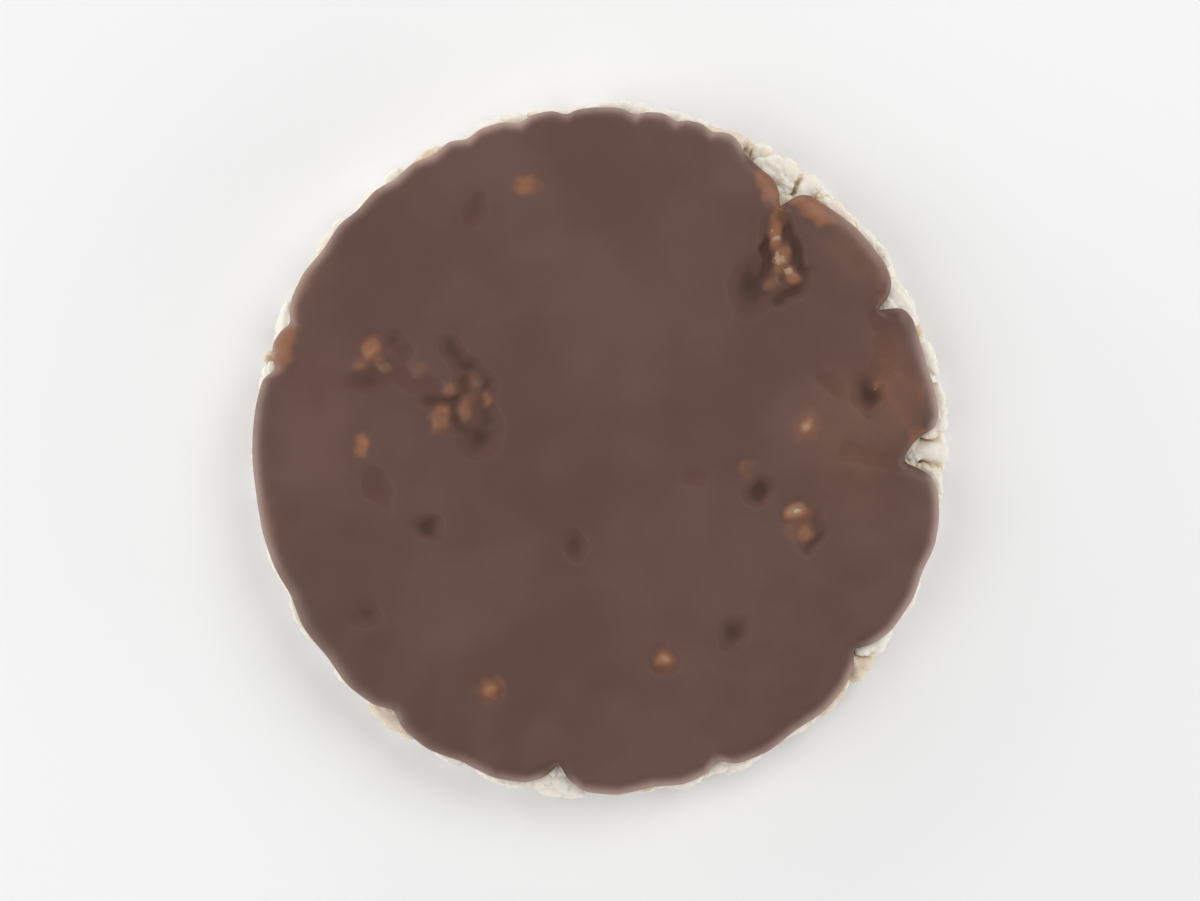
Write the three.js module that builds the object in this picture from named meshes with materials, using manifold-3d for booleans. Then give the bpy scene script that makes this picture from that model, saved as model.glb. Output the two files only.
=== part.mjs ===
// A round puffed rice cake with milk chocolate over its top face.
//
// The cake lies flat with the chocolate up. The origin is the middle of its underside, +Z is up, +Y points to
// the far edge and +X to the right edge. Everything is in millimetres.
//
// The body is puffed rice, pressed and fused in a flat round mould: a core with the kernels that show fused
// on. The underside kernels are pressed flat by the mould's plate, and the rim kernels stay round. The
// chocolate is a thin layer poured on the top face. It runs a little way down the side, it stops short in a
// bay and in notches where bare rice shows, and it has holes where a kernel stands through it.

import * as THREE from "three";
import { mergeVertices } from "three/addons/utils/BufferGeometryUtils.js";
import Module from "manifold-3d";

// Driving dimensions

const CAKE_RADIUS = 46; // the mould's ring
const RICE_TOP = 7.5; // top of the core, under the chocolate
const COAT_UNDER = 7.8; // underside of the chocolate
const COAT_TOP = 9.2; // upper face of the chocolate
const KERNEL_LENGTH = 9;
const KERNEL_WIDTH = 5.9;
const KERNEL_HEIGHT = 4.8;
const FIT_GAP = 0.3; // clearance between the chocolate and the rice

// Worked out from them

const CORE_RADIUS = CAKE_RADIUS - 2.1;
const CORE_BEVEL = 1.3;
const CORE_FOOT = 0.8; // how far the core stays above the flat faces of the underside kernels
const CORE_SIDES = 48;
const MOULD_BEVEL = 0.4;

const KERNEL_SIDES = 6;
const KERNEL_RINGS = 3;
const KERNEL_LUMPS = 0.14; // how far a kernel's surface swells and dents, as a share of its radius
const KERNEL_SIZE_SPREAD = 0.18;

const RIM_ROWS = [
  { count: 35, height: 2.1, turn: 0 },
  { count: 35, height: 5.5, turn: 0.5 },
];
const RIM_INSET = KERNEL_WIDTH / 2 - 0.1; // from the mould's ring to a rim kernel's middle
const RIM_UNEVENNESS = 0.7; // how far inwards a rim kernel strays
const RIM_SHIFT = 0.3; // how far it strays along its row, as a share of the spacing
const RIM_LIFT = 0.6; // how far its height strays
const RIM_TURN = 0.9; // radians that it turns away from the rim's line, and tips
const RIM_SEED = 11;

const GOLDEN_TURN = Math.PI * (3 - Math.sqrt(5)); // spreads the kernels of a face evenly, as in a sunflower
const FACE_RADIUS = CAKE_RADIUS - 5.2;
const FACE_JITTER = 1.1;
const FACE_TILT = 0.3; // radians
const BASE_COUNT = 108;
const BASE_HEIGHT = 1.5;
const BASE_SEED = 23;

const COAT_RADIUS = CAKE_RADIUS - 0.9;
const LONG_RISE = 0.1; // height of the upper face's long waves
const SHORT_RISE = 0.08;
const EDGE_SHOULDER = 1.9; // from the edge in to where the upper face starts to fall
const EDGE_ROUND = 0.7;
const EDGE_DROP = 0.2;
const LIP_THICKNESS = 1.1;
const LIP_RUN = 0.5; // how far the lip runs down the side, give or take LIP_RUN_SPREAD
const LIP_RUN_SPREAD = 0.3;
const LIP_REACH = 0.8; // the lip ends where the edge stays further in than this
const LIP_FADE = 0.06; // radians beside a notch in which the lip fades out
const LIP_FOOT = 0.05;
const SEAT_LEAST = 0.02; // its depth where there is no lip
const SECTION_SHARES = [0.35, 0.7]; // rings of the upper face, as shares of the way to the edge

// The chocolate's edge, as [degrees from +X towards +Y, radius]. It bulges over each kernel of the rim and
// draws back between them. From -20 to 200 degrees it is as in the photo, and the rest is made to match.
const COAT_EDGE = [
  [-16, 45.7], [-12, 45.5], [-9, 45.1], [-5.7, 44.4], [-4, 43.2], [-3, 41.6], [-2.2, 39.9], [-0.8, 40.1],
  [1.2, 41], [2.7, 42.3], [3.8, 44.1], [6, 44.8], [10, 44.7], [14, 44.4], [19, 44.4], [23, 44.6],
  [25.2, 44], [26.1, 42.4], [26.8, 40.7], [28, 43], [30, 44.3], [33, 44.8], [37, 44.7], [41, 44.6],
  [45, 44.1], [48, 43.7], [50.4, 43.5], [52, 42.7], [52.8, 41.4], [53.6, 39.6], [55, 41.2], [57.2, 42.3],
  [60.2, 42.6], [63.6, 43.2], [65.4, 44.3], [67.2, 45], [69.4, 44.8], [70.5, 44.2], [72.4, 45], [75.4, 44.9],
  [76.8, 44.2], [79, 45.1], [82.4, 44.9], [83.8, 44.2], [86.4, 45.1], [91, 45.1], [94.4, 44.8], [95.6, 44.2],
  [98, 45.1], [101.6, 45], [103.8, 44.2], [106.4, 45], [110.6, 45.1], [113, 44.4], [116, 45.2], [119.6, 44.5],
  [123, 45.1], [127, 44.6], [131, 45.2], [135, 44.8], [139, 45.3], [144, 44.9], [149, 45.4], [154, 45.2],
  [156.4, 44.6], [157.6, 43.8], [159.4, 44.8], [162, 45.2], [164.4, 44.8], [165.8, 43.8], [168, 45.3],
  [173, 45.6], [180, 45.7], [187, 45.5], [194, 45.6], [200, 45.4], [205, 44.8], [211, 45.4], [217, 44.9],
  [223, 45.3], [228.5, 44.7], [231.5, 43.4], [234.5, 44.8], [240, 45.3], [246, 44.7], [252, 45.2],
  [257.5, 44.7], [260.6, 43.4], [262.6, 41.4], [264.4, 43.4], [267.4, 44.9], [273, 45.3], [279, 44.7],
  [284, 45.2], [288, 44.8], [290.6, 43.5], [293.4, 44.9], [299, 45.3], [305, 44.8], [311, 45.2],
  [316, 44.7], [319.6, 43.8], [322, 42.2], [324.4, 43.9], [328.4, 45], [335, 45.5], [339.4, 45.2],
];

// Places where a kernel stands bare in the chocolate: [x, y, radius of the hole]
const BARE_SPOTS = [
  [22.8, 29.0, 1.3],
  [23.7, 25.8, 1.6],
  [24.6, 22.7, 1.7],
  [-30.1, 13.0, 1.8],
  [-17.0, 9.6, 1.5],
  [-17.3, 5.6, 1.8],
  [-20.7, 4.4, 1.4],
  [26.8, 2.9, 0.9],
  [26.0, -8.0, 1.3],
  [-31.0, 0.8, 1.0],
  [-9.4, 34.4, 1.2],
  [8.5, -27.6, 1.5],
  [-14.2, -31.5, 1.2],
];
const BARE_SEED = 37;
const BARE_RISE = 0.35; // how far a bare kernel stays under the upper face of the chocolate
const HOLE_SIDES = 7;
const HOLE_FLARE = 1.3; // the hole widens upwards

// Dimples where the chocolate sank between kernels: [x, y, radius]
const DIMPLES = [
  [20.2, 20.4, 2.4],
  [-30.0, 8.9, 2.3],
  [-16.4, 1.2, 2.0],
  [-15.4, 31.6, 1.8],
  [35.6, 6.7, 1.9],
  [20.6, -5.8, 1.8],
  [-22.8, -10.2, 1.5],
  [-3.0, -13.0, 1.6],
  [-28.8, -5.4, 1.7],
  [17.5, -24.0, 1.8],
  [-30.5, -21.5, 1.6],
];
const DIMPLE_DEPTH = 0.9;
const DIMPLE_WIDTH = 0.8; // as a share of its length

const RICE_COLOUR = 0xece2cc;
const CHOCOLATE_COLOUR = 0x654c44;

const wasm = await Module();
wasm.setup();

// Draws from 0 to 1 that come out the same each time for one seed.
function seededDraws(seed) {
  let state = seed;
  return () => {
    state = (Math.imul(state, 1664525) + 1013904223) >>> 0;
    return state / 2 ** 32;
  };
}

function solidFrom(geometry) {
  geometry.deleteAttribute("normal");
  geometry.deleteAttribute("uv");
  const merged = mergeVertices(geometry, 1e-4);
  return new wasm.Manifold(
    new wasm.Mesh({
      numProp: 3,
      vertProperties: merged.attributes.position.array,
      triVerts: new Uint32Array(merged.index.array),
    }),
  );
}

function geometryFrom(solid) {
  const mesh = solid.getMesh();
  return new THREE.BufferGeometry()
    .setAttribute("position", new THREE.BufferAttribute(mesh.vertProperties, 3))
    .setIndex(new THREE.BufferAttribute(mesh.triVerts, 1));
}

function drumSolid(radius, bevel, low, high, sides) {
  const profile = [
    new THREE.Vector2(0, low),
    new THREE.Vector2(radius - bevel, low),
    new THREE.Vector2(radius, low + bevel),
    new THREE.Vector2(radius, high - bevel),
    new THREE.Vector2(radius - bevel, high),
    new THREE.Vector2(0, high),
  ];
  // LatheGeometry turns its profile about Y, so the drum is stood up on Z.
  return solidFrom(new THREE.LatheGeometry(profile, sides).rotateX(Math.PI / 2));
}

// A puffed kernel: a lumpy ellipsoid about its own middle, then turned and placed.
function kernelSolid({ x, y, z, turn, tilt, size, lumps }) {
  const geometry = new THREE.SphereGeometry(1, KERNEL_SIDES, KERNEL_RINGS).rotateZ(Math.PI / 2);
  const position = geometry.getAttribute("position");
  const point = new THREE.Vector3();
  for (let i = 0; i < position.count; i++) {
    point.fromBufferAttribute(position, i);
    const across = Math.sin(3 * point.x + lumps) * Math.cos(2 * point.y - lumps);
    const swell = across + Math.sin(2.5 * point.z + lumps);
    point.multiplyScalar(1 + KERNEL_LUMPS * 0.5 * swell);
    position.setXYZ(i, point.x, point.y, point.z);
  }
  geometry.scale((size * KERNEL_LENGTH) / 2, (size * KERNEL_WIDTH) / 2, (size * KERNEL_HEIGHT) / 2);
  geometry.rotateY(tilt).rotateZ(turn).translate(x, y, z);
  return solidFrom(geometry);
}

function kernelAt(draw, x, y, z, turn, tiltRange) {
  return {
    x,
    y,
    z,
    turn,
    tilt: (draw() - 0.5) * tiltRange,
    size: 1 + (draw() - 0.5) * KERNEL_SIZE_SPREAD,
    lumps: draw() * 2 * Math.PI,
  };
}

// Two staggered rows of round kernels stand against the mould's ring.
function rimKernels() {
  const draw = seededDraws(RIM_SEED);
  const kernels = [];
  for (const row of RIM_ROWS) {
    for (let i = 0; i < row.count; i++) {
      const angle = (2 * Math.PI * (i + row.turn + (draw() - 0.5) * RIM_SHIFT)) / row.count;
      const radius = CAKE_RADIUS - RIM_INSET - draw() * RIM_UNEVENNESS;
      const height = row.height + (draw() - 0.5) * RIM_LIFT;
      const turn = angle + Math.PI / 2 + (draw() - 0.5) * RIM_TURN;
      const x = radius * Math.cos(angle);
      const y = radius * Math.sin(angle);
      kernels.push(kernelAt(draw, x, y, height, turn, RIM_TURN));
    }
  }
  return kernels;
}

// The kernels of the underside lie every way, and the mould's plate cuts their swell off flat.
function baseKernels() {
  const draw = seededDraws(BASE_SEED);
  const kernels = [];
  for (let i = 0; i < BASE_COUNT; i++) {
    const radius = FACE_RADIUS * Math.sqrt((i + 0.5) / BASE_COUNT);
    const angle = i * GOLDEN_TURN;
    const x = radius * Math.cos(angle) + (draw() - 0.5) * FACE_JITTER;
    const y = radius * Math.sin(angle) + (draw() - 0.5) * FACE_JITTER;
    kernels.push(kernelAt(draw, x, y, BASE_HEIGHT, draw() * Math.PI, FACE_TILT));
  }
  return kernels;
}

// One kernel stands in each hole of the chocolate.
function bareKernels() {
  const draw = seededDraws(BARE_SEED);
  const height = COAT_TOP - BARE_RISE - KERNEL_HEIGHT / 2;
  return BARE_SPOTS.map(([x, y]) => kernelAt(draw, x, y, height, draw() * Math.PI, FACE_TILT));
}

// The radius of the chocolate's edge at an angle, straight between the places of the list.
function coatEdge(angle) {
  const first = COAT_EDGE[0][0];
  const turned = THREE.MathUtils.euclideanModulo(THREE.MathUtils.radToDeg(angle) - first, 360) + first;
  const after = COAT_EDGE.findIndex(([degrees]) => degrees > turned);
  const [high, outer] = after < 0 ? [first + 360, COAT_EDGE[0][1]] : COAT_EDGE[after];
  const [low, inner] = COAT_EDGE.at(after < 0 ? -1 : after - 1);
  return THREE.MathUtils.mapLinear(turned, low, high, inner, outer);
}

// 1 where the chocolate runs over the rim, 0 where it stops on the top face.
function lipWrap(angle) {
  const around = [-LIP_FADE, 0, LIP_FADE].map((turn) => coatEdge(angle + turn));
  return THREE.MathUtils.smoothstep(Math.min(...around), COAT_RADIUS - LIP_REACH, COAT_RADIUS);
}

function lipRun(angle) {
  const wander = (Math.sin(5 * angle + 1) + Math.sin(11 * angle + 2)) / 2;
  return lipWrap(angle) * (LIP_RUN + LIP_RUN_SPREAD * wander);
}

function coatRise(radius, angle) {
  const across = radius / CAKE_RADIUS;
  return LONG_RISE * Math.sin(7 * across + 2 * angle) + SHORT_RISE * Math.sin(13 * across - 3 * angle + 1);
}

// The chocolate's section at an angle, from the middle of its upper face, over the lip and back underneath.
function coatSection(angle) {
  const edge = coatEdge(angle);
  const inner = edge - LIP_THICKNESS;
  const low = COAT_UNDER - lipRun(angle);
  const shoulder = edge - EDGE_SHOULDER;
  const upper = [...SECTION_SHARES, 1].map((share) => share * shoulder);
  return [
    ...upper.map((radius) => [radius, COAT_TOP + coatRise(radius, angle)]),
    [edge - EDGE_ROUND, COAT_TOP - EDGE_DROP],
    [edge, (COAT_TOP + low) / 2],
    [edge - EDGE_ROUND / 2, low + LIP_FOOT],
    [inner, low],
    [inner - FIT_GAP, COAT_UNDER],
  ];
}

// The layer of chocolate without its holes: rings of points from the middle of one face to that of the other.
function layerSolid() {
  const sections = COAT_EDGE.map(([degrees]) => {
    const angle = THREE.MathUtils.degToRad(degrees);
    return { angle, section: coatSection(angle) };
  });
  const rings = sections[0].section.length;
  const vertices = [];
  for (const { angle, section } of sections) {
    for (const [radius, height] of section) {
      vertices.push(radius * Math.cos(angle), radius * Math.sin(angle), height);
    }
  }
  const topMiddle = sections.length * rings;
  vertices.push(0, 0, sections[0].section[0][1]);
  vertices.push(0, 0, COAT_UNDER);
  const faces = [];
  for (let i = 0; i < sections.length; i++) {
    const here = i * rings;
    const next = ((i + 1) % sections.length) * rings;
    faces.push(topMiddle, here, next);
    for (let k = 0; k < rings - 1; k++) {
      faces.push(here + k, here + k + 1, next + k + 1);
      faces.push(here + k, next + k + 1, next + k);
    }
    faces.push(topMiddle + 1, next + rings - 1, here + rings - 1);
  }
  const geometry = new THREE.BufferGeometry();
  geometry.setAttribute("position", new THREE.Float32BufferAttribute(vertices, 3));
  geometry.setIndex(faces);
  return solidFrom(geometry);
}

function holeSolid([x, y, radius], slack) {
  const height = 2 * (COAT_TOP - COAT_UNDER);
  const across = radius - slack;
  const geometry = new THREE.CylinderGeometry(across * HOLE_FLARE, across, height, HOLE_SIDES);
  geometry.rotateX(Math.PI / 2).translate(x, y, (COAT_UNDER + COAT_TOP) / 2);
  return solidFrom(geometry);
}

function dimpleSolid([x, y, radius]) {
  const geometry = new THREE.SphereGeometry(1, 8, 4).rotateX(Math.PI / 2);
  geometry.scale(radius, radius * DIMPLE_WIDTH, DIMPLE_DEPTH).translate(x, y, COAT_TOP);
  return solidFrom(geometry);
}

function chocolateCoating() {
  const cuts = [...BARE_SPOTS.map((spot) => holeSolid(spot, 0)), ...DIMPLES.map(dimpleSolid)];
  return layerSolid().subtract(wasm.Manifold.union(cuts));
}

// The shoulder cut off the rim for the chocolate's lip, as a ring. Where the chocolate draws back it comes to
// nothing, so the kernels of the bay and the notches keep their full height.
function lipSeat() {
  const outer = CAKE_RADIUS + 2;
  const turns = COAT_EDGE.map(([degrees]) => THREE.MathUtils.degToRad(degrees));
  const sections = turns.map((angle) => {
    const inner = coatEdge(angle) - LIP_THICKNESS - 2 * FIT_GAP;
    const low = Math.min(COAT_UNDER - lipRun(angle) - FIT_GAP, RICE_TOP - SEAT_LEAST);
    return [[inner, low], [outer, low], [outer, COAT_TOP], [inner, COAT_TOP]];
  });
  const vertices = sections.flatMap((section, i) => {
    return section.flatMap(([radius, height]) => {
      return [radius * Math.cos(turns[i]), radius * Math.sin(turns[i]), height];
    });
  });
  const faces = [];
  for (let i = 0; i < turns.length; i++) {
    const here = i * 4;
    const next = ((i + 1) % turns.length) * 4;
    for (let k = 0; k < 4; k++) {
      const after = (k + 1) % 4;
      faces.push(here + k, next + after, here + after, here + k, next + k, next + after);
    }
  }
  const geometry = new THREE.BufferGeometry();
  geometry.setAttribute("position", new THREE.Float32BufferAttribute(vertices, 3));
  geometry.setIndex(faces);
  return solidFrom(geometry);
}

function riceBody() {
  const core = drumSolid(CORE_RADIUS, CORE_BEVEL, CORE_FOOT, RICE_TOP, CORE_SIDES);
  const mould = drumSolid(CAKE_RADIUS, MOULD_BEVEL, 0, RICE_TOP, CORE_SIDES);
  const pressed = wasm.Manifold.union([core, ...[...rimKernels(), ...baseKernels()].map(kernelSolid)]);
  const standing = bareKernels().map((kernel, i) => {
    return kernelSolid(kernel).intersect(holeSolid(BARE_SPOTS[i], FIT_GAP));
  });
  return wasm.Manifold.union([pressed.intersect(mould).subtract(lipSeat()), ...standing]);
}

function namedMesh(name, solid, colour, roughness) {
  const material = new THREE.MeshStandardMaterial({ color: colour, roughness, metalness: 0 });
  const mesh = new THREE.Mesh(geometryFrom(solid), material);
  mesh.name = name;
  return mesh;
}

const riceCake = new THREE.Group();
riceCake.add(namedMesh("puffed_rice", riceBody(), RICE_COLOUR, 0.75));
riceCake.add(namedMesh("chocolate_coating", chocolateCoating(), CHOCOLATE_COLOUR, 0.4));

export default riceCake;
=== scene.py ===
"""A chocolate-coated puffed rice cake on a pale table, seen from above."""

import math

import bpy
import numpy as np
from mathutils import Matrix, Vector, noise


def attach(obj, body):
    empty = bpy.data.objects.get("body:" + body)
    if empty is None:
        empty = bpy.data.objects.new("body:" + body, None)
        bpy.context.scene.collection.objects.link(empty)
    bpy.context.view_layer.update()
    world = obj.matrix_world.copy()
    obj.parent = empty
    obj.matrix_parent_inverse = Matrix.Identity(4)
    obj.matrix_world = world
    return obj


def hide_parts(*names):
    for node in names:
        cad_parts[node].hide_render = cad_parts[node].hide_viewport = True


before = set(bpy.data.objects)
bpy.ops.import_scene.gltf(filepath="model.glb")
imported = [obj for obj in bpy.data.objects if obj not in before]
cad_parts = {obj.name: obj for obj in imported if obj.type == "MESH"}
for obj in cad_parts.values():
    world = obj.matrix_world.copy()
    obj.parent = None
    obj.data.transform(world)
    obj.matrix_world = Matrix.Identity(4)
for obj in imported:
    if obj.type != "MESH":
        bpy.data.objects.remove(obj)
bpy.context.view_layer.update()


# Rice core: deep inside the cake the puffed grains are fused into one pale mass. Its bumpy surface shows only
# in the crevices between the kernels, so it is painted all over in the warm cream of the painted crevice
# shade.
MM = 0.001
CAKE_RADIUS = 46 * MM
RICE_TOP = 7.5 * MM
CORE_RADIUS = CAKE_RADIUS - 3.2 * MM
CORE_LOW = 1.9 * MM
CORE_TOP = RICE_TOP - 0.2 * MM
CORE_ROUND = 1.2 * MM
CORE_SIDES = 360
CORE_STEP = 0.8 * MM
# Its bumps: (height, size).
CORE_BUMPS = ((0.5 * MM, 2.2 * MM), (0.25 * MM, 0.9 * MM))
GRAIN = (0.81, 0.77, 0.69, 1)
# Painted shade: the colour that the crevices between the kernels are drawn towards.
SHADED_GRAIN = (0.78, 0.685, 0.54, 1)
TOASTED = (0.6, 0.4, 0.22, 1)
# The grain's skin, as the scales of its patterns: pale clouds, toasted flecks, wrinkles and pores.
CLOUD_SCALE = 260
FLECK_SCALE = 520
WRINKLE_SCALE = 1400
PORE_SCALE = 1100
# The mould's hot plate toasts what it presses, up to this height.
TOASTED_HEIGHT = 0.7 * MM
GRAIN_BUMP = 0.12 * MM
GRAIN_ROUGHNESS = 0.55
# The light that gets through the grain: how much, how far, and which share of that each colour goes.
GLOW = 0.5
GLOW_REACH = 1.3 * MM
GLOW_COLOURS = (1, 0.75, 0.5)


def add_node(tree, kind, inputs=None, **settings):
    """Adds a node, with its settings, and with each input set to a value or linked to a socket."""
    node = tree.nodes.new(kind)
    for name, value in settings.items():
        setattr(node, name, value)
    for key, value in (inputs or {}).items():
        if isinstance(value, bpy.types.NodeSocket):
            tree.links.new(value, node.inputs[key])
        else:
            node.inputs[key].default_value = value
    return node


def ramp(tree, value, low, high):
    """0 below low, 1 above high and smooth between them."""
    node = add_node(tree, "ShaderNodeMapRange", {"Value": value, "From Min": low, "From Max": high},
                    interpolation_type="SMOOTHSTEP")
    return node.outputs["Result"]


def times(tree, a, b):
    return add_node(tree, "ShaderNodeMath", {0: a, 1: b}, operation="MULTIPLY").outputs[0]


def plus(tree, a, b):
    return add_node(tree, "ShaderNodeMath", {0: a, 1: b}, operation="ADD").outputs[0]


def blended(tree, share, first, second):
    node = add_node(tree, "ShaderNodeMix", {0: share, 6: first, 7: second}, data_type="RGBA")
    return node.outputs[2]


def speckle(tree, place, scale, detail):
    """A cloudy pattern from 0 to 1."""
    node = add_node(tree, "ShaderNodeTexNoise", {"Vector": place, "Scale": scale, "Detail": detail})
    return node.outputs["Fac"]


def own_value(tree, name):
    """The value that a mesh carries under a name."""
    return add_node(tree, "ShaderNodeAttribute", attribute_name=name).outputs["Fac"]


def puffed_grain_group():
    """The mottled, finely blistered skin of a puffed grain: a colour and a height for the bump."""
    tree = bpy.data.node_groups.new("puffed_grain", "ShaderNodeTree")
    for name, kind in (("Grain", "NodeSocketColor"), ("Shade_and_film", "NodeSocketColor"),
                       ("Toasted", "NodeSocketColor"), ("Tone", "NodeSocketFloat"),
                       ("Shade_and_film_share", "NodeSocketFloat")):
        tree.interface.new_socket(name, in_out="INPUT", socket_type=kind)
    tree.interface.new_socket("Color", in_out="OUTPUT", socket_type="NodeSocketColor")
    tree.interface.new_socket("Height", in_out="OUTPUT", socket_type="NodeSocketFloat")
    given = add_node(tree, "NodeGroupInput").outputs
    place = add_node(tree, "ShaderNodeTexCoord").outputs["Object"]
    clouds = speckle(tree, place, CLOUD_SCALE, 3)
    flecks = speckle(tree, place, FLECK_SCALE, 5)
    wrinkles = speckle(tree, place, WRINKLE_SCALE, 5)
    bubbles = add_node(tree, "ShaderNodeTexVoronoi",
                       {"Vector": place, "Scale": PORE_SCALE}).outputs["Distance"]
    pores = times(tree, ramp(tree, bubbles, 0.2, 0.1), ramp(tree, clouds, 0.5, 0.56))
    # Painted crevice shade: the skin is drawn towards its shaded colour by the share from its mesh and a
    # little by the clouds. On stained grains that colour is a real chocolate film instead.
    shade = plus(tree, times(tree, ramp(tree, clouds, 0.42, 0.75), 0.3), given["Shade_and_film_share"])
    skin = blended(tree, shade, given["Grain"], given["Shade_and_film"])
    toast = plus(tree, ramp(tree, flecks, 0.6, 0.74), -0.35)
    toast = times(tree, plus(tree, toast, given["Tone"]), given["Tone"])
    height_above = add_node(tree, "ShaderNodeSeparateXYZ", {0: place}).outputs["Z"]
    pressed = times(tree, ramp(tree, height_above, TOASTED_HEIGHT, 0), ramp(tree, clouds, 0.4, 0.66))
    toast = plus(tree, toast, plus(tree, times(tree, pores, 0.55), times(tree, pressed, 0.4)))
    colour = blended(tree, toast, skin, given["Toasted"])
    height = plus(tree, wrinkles, plus(tree, times(tree, bubbles, -0.35), times(tree, pores, -0.9)))
    add_node(tree, "NodeGroupOutput", {"Color": colour, "Height": height})
    return tree


puffed_grain = puffed_grain_group()


def rice_material(name, grain, shade_and_film, toasted, roughness):
    """A matt grain material: its tone and its share of painted crevice shade (of chocolate film, on stained
    grains) come from its mesh.
    """
    material = bpy.data.materials.new(name)
    material.use_nodes = True
    tree = material.node_tree
    skin = add_node(tree, "ShaderNodeGroup", node_tree=puffed_grain)
    for key, colour in (("Grain", grain), ("Shade_and_film", shade_and_film), ("Toasted", toasted)):
        skin.inputs[key].default_value = colour
    for key in ("tone", "shade_and_film_share"):
        tree.links.new(own_value(tree, key), skin.inputs[key.capitalize()])
    bump = add_node(tree, "ShaderNodeBump", {"Height": skin.outputs["Height"], "Strength": 0.6,
                                             "Distance": GRAIN_BUMP})
    shader = tree.nodes["Principled BSDF"]
    tree.links.new(skin.outputs["Color"], shader.inputs["Base Color"])
    tree.links.new(bump.outputs["Normal"], shader.inputs["Normal"])
    shader.inputs["Roughness"].default_value = roughness
    shader.inputs["Subsurface Weight"].default_value = GLOW
    shader.inputs["Subsurface Radius"].default_value = GLOW_COLOURS
    shader.inputs["Subsurface Scale"].default_value = GLOW_REACH
    return material


puffed_rice = rice_material("puffed_rice", GRAIN, SHADED_GRAIN, TOASTED, GRAIN_ROUGHNESS)


def set_values(mesh, name, values):
    mesh.attributes.new(name, "FLOAT", "POINT").data.foreach_set("value", np.asarray(values, np.float32))


def mesh_piece(name, points, faces, material):
    mesh = bpy.data.meshes.new(name)
    mesh.from_pydata(np.asarray(points).tolist(), [], faces)
    mesh.shade_smooth()
    mesh.materials.append(material)
    piece = bpy.data.objects.new(name, mesh)
    bpy.context.scene.collection.objects.link(piece)
    return piece


def ring_faces(rings, count):
    """Quads between rings of count points each, the first ring inside and the last outside or below."""
    faces = []
    for start in range(0, (rings - 1) * count, count):
        for i in range(count):
            j = (i + 1) % count
            faces.append((start + i, start + count + i, start + count + j, start + j))
    return faces


def core_profile():
    """The core's section as (radius, height) pairs, from its top's middle to its underside's."""
    across = np.arange(CORE_STEP, CORE_RADIUS - CORE_ROUND, CORE_STEP)
    corner = np.radians(np.arange(0, 91, 30))
    top = [(r, CORE_TOP) for r in across]
    shoulder = [(CORE_RADIUS - CORE_ROUND + CORE_ROUND * math.sin(a),
                 CORE_TOP - CORE_ROUND + CORE_ROUND * math.cos(a)) for a in corner]
    side = [(CORE_RADIUS, h) for h in np.linspace(RICE_TOP - 2 * CORE_ROUND, CORE_LOW + 2 * CORE_ROUND, 4)]
    foot = [(CORE_RADIUS - CORE_ROUND + CORE_ROUND * math.cos(a),
             CORE_LOW + CORE_ROUND - CORE_ROUND * math.sin(a)) for a in corner]
    base = [(r, CORE_LOW) for r in across[::-1]]
    return top + shoulder + side + foot + base


def rice_core():
    angles = np.arange(CORE_SIDES) * 2 * math.pi / CORE_SIDES
    profile = core_profile()
    points = [Vector((r * math.cos(a), r * math.sin(a), h)) for r, h in profile for a in angles]
    for bump, size in CORE_BUMPS:
        points = [p * (1 - bump / CORE_RADIUS * (1 + noise.noise(p / size)))
                  + Vector((0, 0, bump * noise.noise(p / size + Vector((7, 3, 1))))) for p in points]
    faces = ring_faces(len(profile), CORE_SIDES)
    faces.append(tuple(range(CORE_SIDES)))
    faces.append(tuple(reversed(range(len(points) - CORE_SIDES, len(points)))))
    return mesh_piece("rice_core", points, faces, puffed_rice)


CORE_TONE = 0.2
core = rice_core()
set_values(core.data, "tone", np.full(len(core.data.vertices), CORE_TONE))
# The whole core carries the painted crevice shade in full.
set_values(core.data, "shade_and_film_share", np.ones(len(core.data.vertices)))
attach(core, "root")


# Kernels of the rim: brown rice puffed in a hot round mould, so each kernel swells until it meets its
# neighbours, the mould's ring and its plate. Two staggered rows stand against the ring and stay round.
KERNEL_LENGTH = 9 * MM
KERNEL_WIDTH = 5.9 * MM
KERNEL_HEIGHT = 4.8 * MM
KERNEL_SIZE_SPREAD = 0.18
RIM_GROWTH = 1.3
# Its rows, as (how many, height, turn as a share of the spacing).
RIM_ROWS = ((35, 2.1 * MM, 0), (35, 5.5 * MM, 0.5))
RIM_INSET = KERNEL_WIDTH / 2 - 0.1 * MM
RIM_UNEVENNESS = 0.7 * MM
RIM_SHIFT = 0.3
RIM_LIFT = 0.6 * MM
RIM_TURN = 0.9
RIM_SEED = 11


def seeded_draws(seed):
    """A function that draws the same numbers from 0 to 1 each time, one a call."""
    state = seed

    def draw():
        nonlocal state
        state = (state * 1664525 + 1013904223) % 2 ** 32
        return state / 2 ** 32

    return draw


def kernel_at(draw, x, y, z, turn, tilt_range, growth):
    """A kernel's middle, its turn and tilt, its size and its own lumps, with its tone."""
    tilt = (draw() - 0.5) * tilt_range
    size = 1 + (draw() - 0.5) * KERNEL_SIZE_SPREAD
    lumps = draw() * 2 * math.pi
    tone = ((lumps * 5) % 1) ** 3
    return {"middle": Vector((x, y, z)), "turn": turn, "tilt": tilt, "size": size * growth, "lumps": lumps,
            "tone": tone}


def rim_layout():
    draw = seeded_draws(RIM_SEED)
    kernels = []
    for count, row_height, row_turn in RIM_ROWS:
        for i in range(count):
            angle = 2 * math.pi * (i + row_turn + (draw() - 0.5) * RIM_SHIFT) / count
            radius = CAKE_RADIUS - RIM_INSET - draw() * RIM_UNEVENNESS
            height = row_height + (draw() - 0.5) * RIM_LIFT
            turn = angle + math.pi / 2 + (draw() - 0.5) * RIM_TURN
            kernels.append(kernel_at(draw, radius * math.cos(angle), radius * math.sin(angle), height, turn,
                                     RIM_TURN, RIM_GROWTH))
    return kernels


rim_kernels = rim_layout()


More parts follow.
